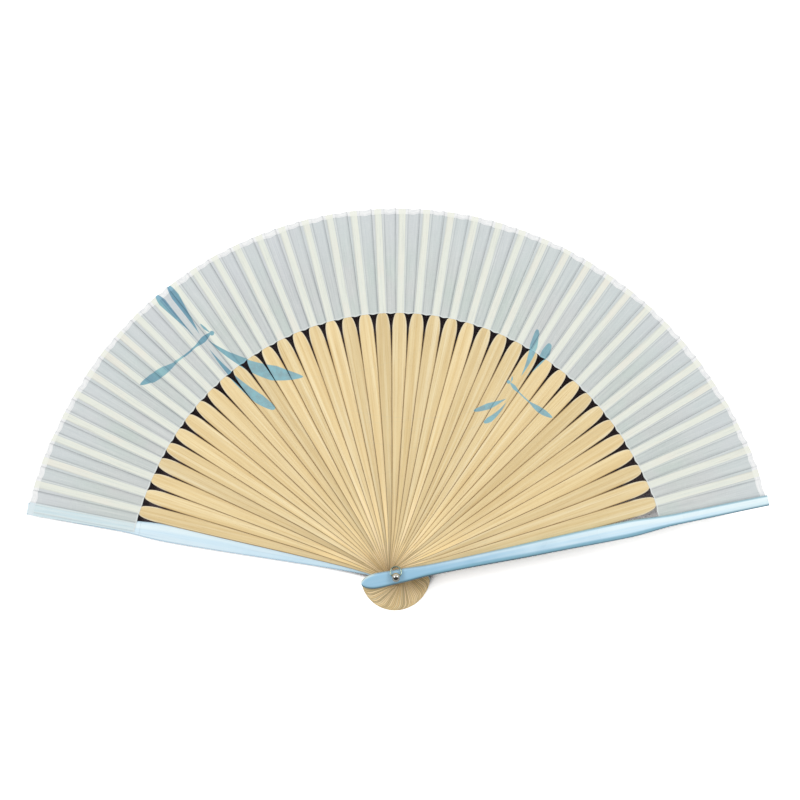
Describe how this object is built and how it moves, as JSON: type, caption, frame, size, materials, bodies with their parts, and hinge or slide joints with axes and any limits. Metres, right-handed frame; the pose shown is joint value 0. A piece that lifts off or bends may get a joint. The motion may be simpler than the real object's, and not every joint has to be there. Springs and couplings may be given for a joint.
{
  "type": "folding fan",
  "caption": "Folding fan: a pleated silk leaf on slender bamboo ribs between lacquered guards, turning on a rivet with a tassel ring.",
  "frame": {"origin": "on the rivet's axis, at the flat back face of the rivet's peened tail", "axes": "the open fan lies flat: +Z along the rivet's axis towards the fan's front, +Y along the middle of the spread, +X to the right as its front is seen"},
  "size_m": [0.3792, 0.2063, 0.0329],
  "materials": {
    "lacquer": "pale blue lacquer over bamboo, satin gloss",
    "bamboo": "natural split bamboo, smooth and matt",
    "silk": "thin pale grey-blue plain-weave silk, cream where it is glued to a tongue",
    "edge_tape": "white edge tape",
    "plated_steel": "polished nickel plate"
  },
  "bodies": {
    "back_guard": {"guard_back": "lacquer", "rivet_pin": "plated_steel", "rivet_washer": "plated_steel", "silk_leaf": "silk", "rim_binding": "edge_tape"},
    "front_guard": {"guard_front": "lacquer"},
    "rib_01_body": {"rib_01": "bamboo"},
    "rib_02_body": {"rib_02": "bamboo"},
    "rib_03_body": {"rib_03": "bamboo"},
    "rib_04_body": {"rib_04": "bamboo"},
    "rib_05_body": {"rib_05": "bamboo"},
    "rib_06_body": {"rib_06": "bamboo"},
    "rib_07_body": {"rib_07": "bamboo"},
    "rib_08_body": {"rib_08": "bamboo"},
    "rib_09_body": {"rib_09": "bamboo"},
    "rib_10_body": {"rib_10": "bamboo"},
    "rib_11_body": {"rib_11": "bamboo"},
    "rib_12_body": {"rib_12": "bamboo"},
    "rib_13_body": {"rib_13": "bamboo"},
    "rib_14_body": {"rib_14": "bamboo"},
    "rib_15_body": {"rib_15": "bamboo"},
    "rib_16_body": {"rib_16": "bamboo"},
    "rib_17_body": {"rib_17": "bamboo"},
    "rib_18_body": {"rib_18": "bamboo"},
    "rib_19_body": {"rib_19": "bamboo"},
    "rib_20_body": {"rib_20": "bamboo"},
    "rib_21_body": {"rib_21": "bamboo"},
    "rib_22_body": {"rib_22": "bamboo"},
    "rib_23_body": {"rib_23": "bamboo"},
    "rib_24_body": {"rib_24": "bamboo"},
    "rib_25_body": {"rib_25": "bamboo"},
    "rib_26_body": {"rib_26": "bamboo"},
    "rib_27_body": {"rib_27": "bamboo"},
    "rib_28_body": {"rib_28": "bamboo"},
    "rib_29_body": {"rib_29": "bamboo"},
    "rib_30_body": {"rib_30": "bamboo"},
    "rib_31_body": {"rib_31": "bamboo"},
    "rib_32_body": {"rib_32": "bamboo"},
    "rib_33_body": {"rib_33": "bamboo"},
    "rib_34_body": {"rib_34": "bamboo"},
    "rib_35_body": {"rib_35": "bamboo"},
    "rib_36_body": {"rib_36": "bamboo"},
    "rib_37_body": {"rib_37": "bamboo"},
    "rib_38_body": {"rib_38": "bamboo"},
    "rib_39_body": {"rib_39": "bamboo"},
    "rib_40_body": {"rib_40": "bamboo"},
    "ring": {"tassel_ring": "plated_steel"}
  },
  "joints": [
    {"name": "fold", "type": "hinge", "parent": "back_guard", "child": "front_guard", "pos_m": [0, 0, 0.02732], "axis": [0, 0, 1], "range_deg": [0, 158.4], "deforming": ["silk_leaf", "rim_binding"]},
    {"name": "turn_01", "type": "hinge", "parent": "back_guard", "child": "rib_01_body", "pos_m": [0, 0, 0.00424], "axis": [0, 0, 1], "range_deg": [0, 3.84]},
    {"name": "turn_02", "type": "hinge", "parent": "back_guard", "child": "rib_02_body", "pos_m": [0, 0, 0.00479], "axis": [0, 0, 1], "range_deg": [0, 7.69]},
    {"name": "turn_03", "type": "hinge", "parent": "back_guard", "child": "rib_03_body", "pos_m": [0, 0, 0.00534], "axis": [0, 0, 1], "range_deg": [0, 11.53]},
    {"name": "turn_04", "type": "hinge", "parent": "back_guard", "child": "rib_04_body", "pos_m": [0, 0, 0.00588], "axis": [0, 0, 1], "range_deg": [0, 15.37]},
    {"name": "turn_05", "type": "hinge", "parent": "back_guard", "child": "rib_05_body", "pos_m": [0, 0, 0.00643], "axis": [0, 0, 1], "range_deg": [0, 19.21]},
    {"name": "turn_06", "type": "hinge", "parent": "back_guard", "child": "rib_06_body", "pos_m": [0, 0, 0.00698], "axis": [0, 0, 1], "range_deg": [0, 23.06]},
    {"name": "turn_07", "type": "hinge", "parent": "back_guard", "child": "rib_07_body", "pos_m": [0, 0, 0.00754], "axis": [0, 0, 1], "range_deg": [0, 26.9]},
    {"name": "turn_08", "type": "hinge", "parent": "back_guard", "child": "rib_08_body", "pos_m": [0, 0, 0.00809], "axis": [0, 0, 1], "range_deg": [0, 30.74]},
    {"name": "turn_09", "type": "hinge", "parent": "back_guard", "child": "rib_09_body", "pos_m": [0, 0, 0.00864], "axis": [0, 0, 1], "range_deg": [0, 34.59]},
    {"name": "turn_10", "type": "hinge", "parent": "back_guard", "child": "rib_10_body", "pos_m": [0, 0, 0.00919], "axis": [0, 0, 1], "range_deg": [0, 38.43]},
    {"name": "turn_11", "type": "hinge", "parent": "back_guard", "child": "rib_11_body", "pos_m": [0, 0, 0.00974], "axis": [0, 0, 1], "range_deg": [0, 42.27]},
    {"name": "turn_12", "type": "hinge", "parent": "back_guard", "child": "rib_12_body", "pos_m": [0, 0, 0.01029], "axis": [0, 0, 1], "range_deg": [0, 46.12]},
    {"name": "turn_13", "type": "hinge", "parent": "back_guard", "child": "rib_13_body", "pos_m": [0, 0, 0.01083], "axis": [0, 0, 1], "range_deg": [0, 49.96]},
    {"name": "turn_14", "type": "hinge", "parent": "back_guard", "child": "rib_14_body", "pos_m": [0, 0, 0.01138], "axis": [0, 0, 1], "range_deg": [0, 53.8]},
    {"name": "turn_15", "type": "hinge", "parent": "back_guard", "child": "rib_15_body", "pos_m": [0, 0, 0.01193], "axis": [0, 0, 1], "range_deg": [0, 57.65]},
    {"name": "turn_16", "type": "hinge", "parent": "back_guard", "child": "rib_16_body", "pos_m": [0, 0, 0.01248], "axis": [0, 0, 1], "range_deg": [0, 61.49]},
    {"name": "turn_17", "type": "hinge", "parent": "back_guard", "child": "rib_17_body", "pos_m": [0, 0, 0.01303], "axis": [0, 0, 1], "range_deg": [0, 65.33]},
    {"name": "turn_18", "type": "hinge", "parent": "back_guard", "child": "rib_18_body", "pos_m": [0, 0, 0.01358], "axis": [0, 0, 1], "range_deg": [0, 69.17]},
    {"name": "turn_19", "type": "hinge", "parent": "back_guard", "child": "rib_19_body", "pos_m": [0, 0, 0.01413], "axis": [0, 0, 1], "range_deg": [0, 73.02]},
    {"name": "turn_20", "type": "hinge", "parent": "back_guard", "child": "rib_20_body", "pos_m": [0, 0, 0.01469], "axis": [0, 0, 1], "range_deg": [0, 76.86]},
    {"name": "turn_21", "type": "hinge", "parent": "back_guard", "child": "rib_21_body", "pos_m": [0, 0, 0.01524], "axis": [0, 0, 1], "range_deg": [0, 80.7]},
    {"name": "turn_22", "type": "hinge", "parent": "back_guard", "child": "rib_22_body", "pos_m": [0, 0, 0.01579], "axis": [0, 0, 1], "range_deg": [0, 84.55]},
    {"name": "turn_23", "type": "hinge", "parent": "back_guard", "child": "rib_23_body", "pos_m": [0, 0, 0.01633], "axis": [0, 0, 1], "range_deg": [0, 88.39]},
    {"name": "turn_24", "type": "hinge", "parent": "back_guard", "child": "rib_24_body", "pos_m": [0, 0, 0.01689], "axis": [0, 0, 1], "range_deg": [0, 92.23]},
    {"name": "turn_25", "type": "hinge", "parent": "back_guard", "child": "rib_25_body", "pos_m": [0, 0, 0.01743], "axis": [0, 0, 1], "range_deg": [0, 96.08]},
    {"name": "turn_26", "type": "hinge", "parent": "back_guard", "child": "rib_26_body", "pos_m": [0, 0, 0.01799], "axis": [0, 0, 1], "range_deg": [0, 99.92]},
    {"name": "turn_27", "type": "hinge", "parent": "back_guard", "child": "rib_27_body", "pos_m": [0, 0, 0.01853], "axis": [0, 0, 1], "range_deg": [0, 103.76]},
    {"name": "turn_28", "type": "hinge", "parent": "back_guard", "child": "rib_28_body", "pos_m": [0, 0, 0.01909], "axis": [0, 0, 1], "range_deg": [0, 107.6]},
    {"name": "turn_29", "type": "hinge", "parent": "back_guard", "child": "rib_29_body", "pos_m": [0, 0, 0.01963], "axis": [0, 0, 1], "range_deg": [0, 111.45]},
    {"name": "turn_30", "type": "hinge", "parent": "back_guard", "child": "rib_30_body", "pos_m": [0, 0, 0.02019], "axis": [0, 0, 1], "range_deg": [0, 115.29]},
    {"name": "turn_31", "type": "hinge", "parent": "back_guard", "child": "rib_31_body", "pos_m": [0, 0, 0.02073], "axis": [0, 0, 1], "range_deg": [0, 119.13]},
    {"name": "turn_32", "type": "hinge", "parent": "back_guard", "child": "rib_32_body", "pos_m": [0, 0, 0.02128], "axis": [0, 0, 1], "range_deg": [0, 122.98]},
    {"name": "turn_33", "type": "hinge", "parent": "back_guard", "child": "rib_33_body", "pos_m": [0, 0, 0.02184], "axis": [0, 0, 1], "range_deg": [0, 126.82]},
    {"name": "turn_34", "type": "hinge", "parent": "back_guard", "child": "rib_34_body", "pos_m": [0, 0, 0.02238], "axis": [0, 0, 1], "range_deg": [0, 130.66]},
    {"name": "turn_35", "type": "hinge", "parent": "back_guard", "child": "rib_35_body", "pos_m": [0, 0, 0.02294], "axis": [0, 0, 1], "range_deg": [0, 134.5]},
    {"name": "turn_36", "type": "hinge", "parent": "back_guard", "child": "rib_36_body", "pos_m": [0, 0, 0.02348], "axis": [0, 0, 1], "range_deg": [0, 138.35]},
    {"name": "turn_37", "type": "hinge", "parent": "back_guard", "child": "rib_37_body", "pos_m": [0, 0, 0.02404], "axis": [0, 0, 1], "range_deg": [0, 142.19]},
    {"name": "turn_38", "type": "hinge", "parent": "back_guard", "child": "rib_38_body", "pos_m": [0, 0, 0.02458], "axis": [0, 0, 1], "range_deg": [0, 146.03]},
    {"name": "turn_39", "type": "hinge", "parent": "back_guard", "child": "rib_39_body", "pos_m": [0, 0, 0.02514], "axis": [0, 0, 1], "range_deg": [0, 149.88]},
    {"name": "turn_40", "type": "hinge", "parent": "back_guard", "child": "rib_40_body", "pos_m": [0, 0, 0.02568], "axis": [0, 0, 1], "range_deg": [0, 153.72]},
    {"name": "ring_swing", "type": "hinge", "parent": "back_guard", "child": "ring", "pos_m": [0, 0, 0.03062], "axis": [1, 0, 0], "range_deg": [0, 148]}
  ],
  "couplings": [
    {"joint": "turn_01", "follows": "fold", "ratio": 0.024261},
    {"joint": "turn_02", "follows": "fold", "ratio": 0.048523},
    {"joint": "turn_03", "follows": "fold", "ratio": 0.072784},
    {"joint": "turn_04", "follows": "fold", "ratio": 0.097045},
    {"joint": "turn_05", "follows": "fold", "ratio": 0.12131},
    {"joint": "turn_06", "follows": "fold", "ratio": 0.14557},
    {"joint": "turn_07", "follows": "fold", "ratio": 0.16983},
    {"joint": "turn_08", "follows": "fold", "ratio": 0.19409},
    {"joint": "turn_09", "follows": "fold", "ratio": 0.21835},
    {"joint": "turn_10", "follows": "fold", "ratio": 0.24261},
    {"joint": "turn_11", "follows": "fold", "ratio": 0.26687},
    {"joint": "turn_12", "follows": "fold", "ratio": 0.29114},
    {"joint": "turn_13", "follows": "fold", "ratio": 0.3154},
    {"joint": "turn_14", "follows": "fold", "ratio": 0.33966},
    {"joint": "turn_15", "follows": "fold", "ratio": 0.36392},
    {"joint": "turn_16", "follows": "fold", "ratio": 0.38818},
    {"joint": "turn_17", "follows": "fold", "ratio": 0.41244},
    {"joint": "turn_18", "follows": "fold", "ratio": 0.4367},
    {"joint": "turn_19", "follows": "fold", "ratio": 0.46097},
    {"joint": "turn_20", "follows": "fold", "ratio": 0.48523},
    {"joint": "turn_21", "follows": "fold", "ratio": 0.50949},
    {"joint": "turn_22", "follows": "fold", "ratio": 0.53375},
    {"joint": "turn_23", "follows": "fold", "ratio": 0.55801},
    {"joint": "turn_24", "follows": "fold", "ratio": 0.58227},
    {"joint": "turn_25", "follows": "fold", "ratio": 0.60653},
    {"joint": "turn_26", "follows": "fold", "ratio": 0.6308},
    {"joint": "turn_27", "follows": "fold", "ratio": 0.65506},
    {"joint": "turn_28", "follows": "fold", "ratio": 0.67932},
    {"joint": "turn_29", "follows": "fold", "ratio": 0.70358},
    {"joint": "turn_30", "follows": "fold", "ratio": 0.72784},
    {"joint": "turn_31", "follows": "fold", "ratio": 0.7521},
    {"joint": "turn_32", "follows": "fold", "ratio": 0.77636},
    {"joint": "turn_33", "follows": "fold", "ratio": 0.80063},
    {"joint": "turn_34", "follows": "fold", "ratio": 0.82489},
    {"joint": "turn_35", "follows": "fold", "ratio": 0.84915},
    {"joint": "turn_36", "follows": "fold", "ratio": 0.87341},
    {"joint": "turn_37", "follows": "fold", "ratio": 0.89767},
    {"joint": "turn_38", "follows": "fold", "ratio": 0.92193},
    {"joint": "turn_39", "follows": "fold", "ratio": 0.94619},
    {"joint": "turn_40", "follows": "fold", "ratio": 0.97045}
  ]
}
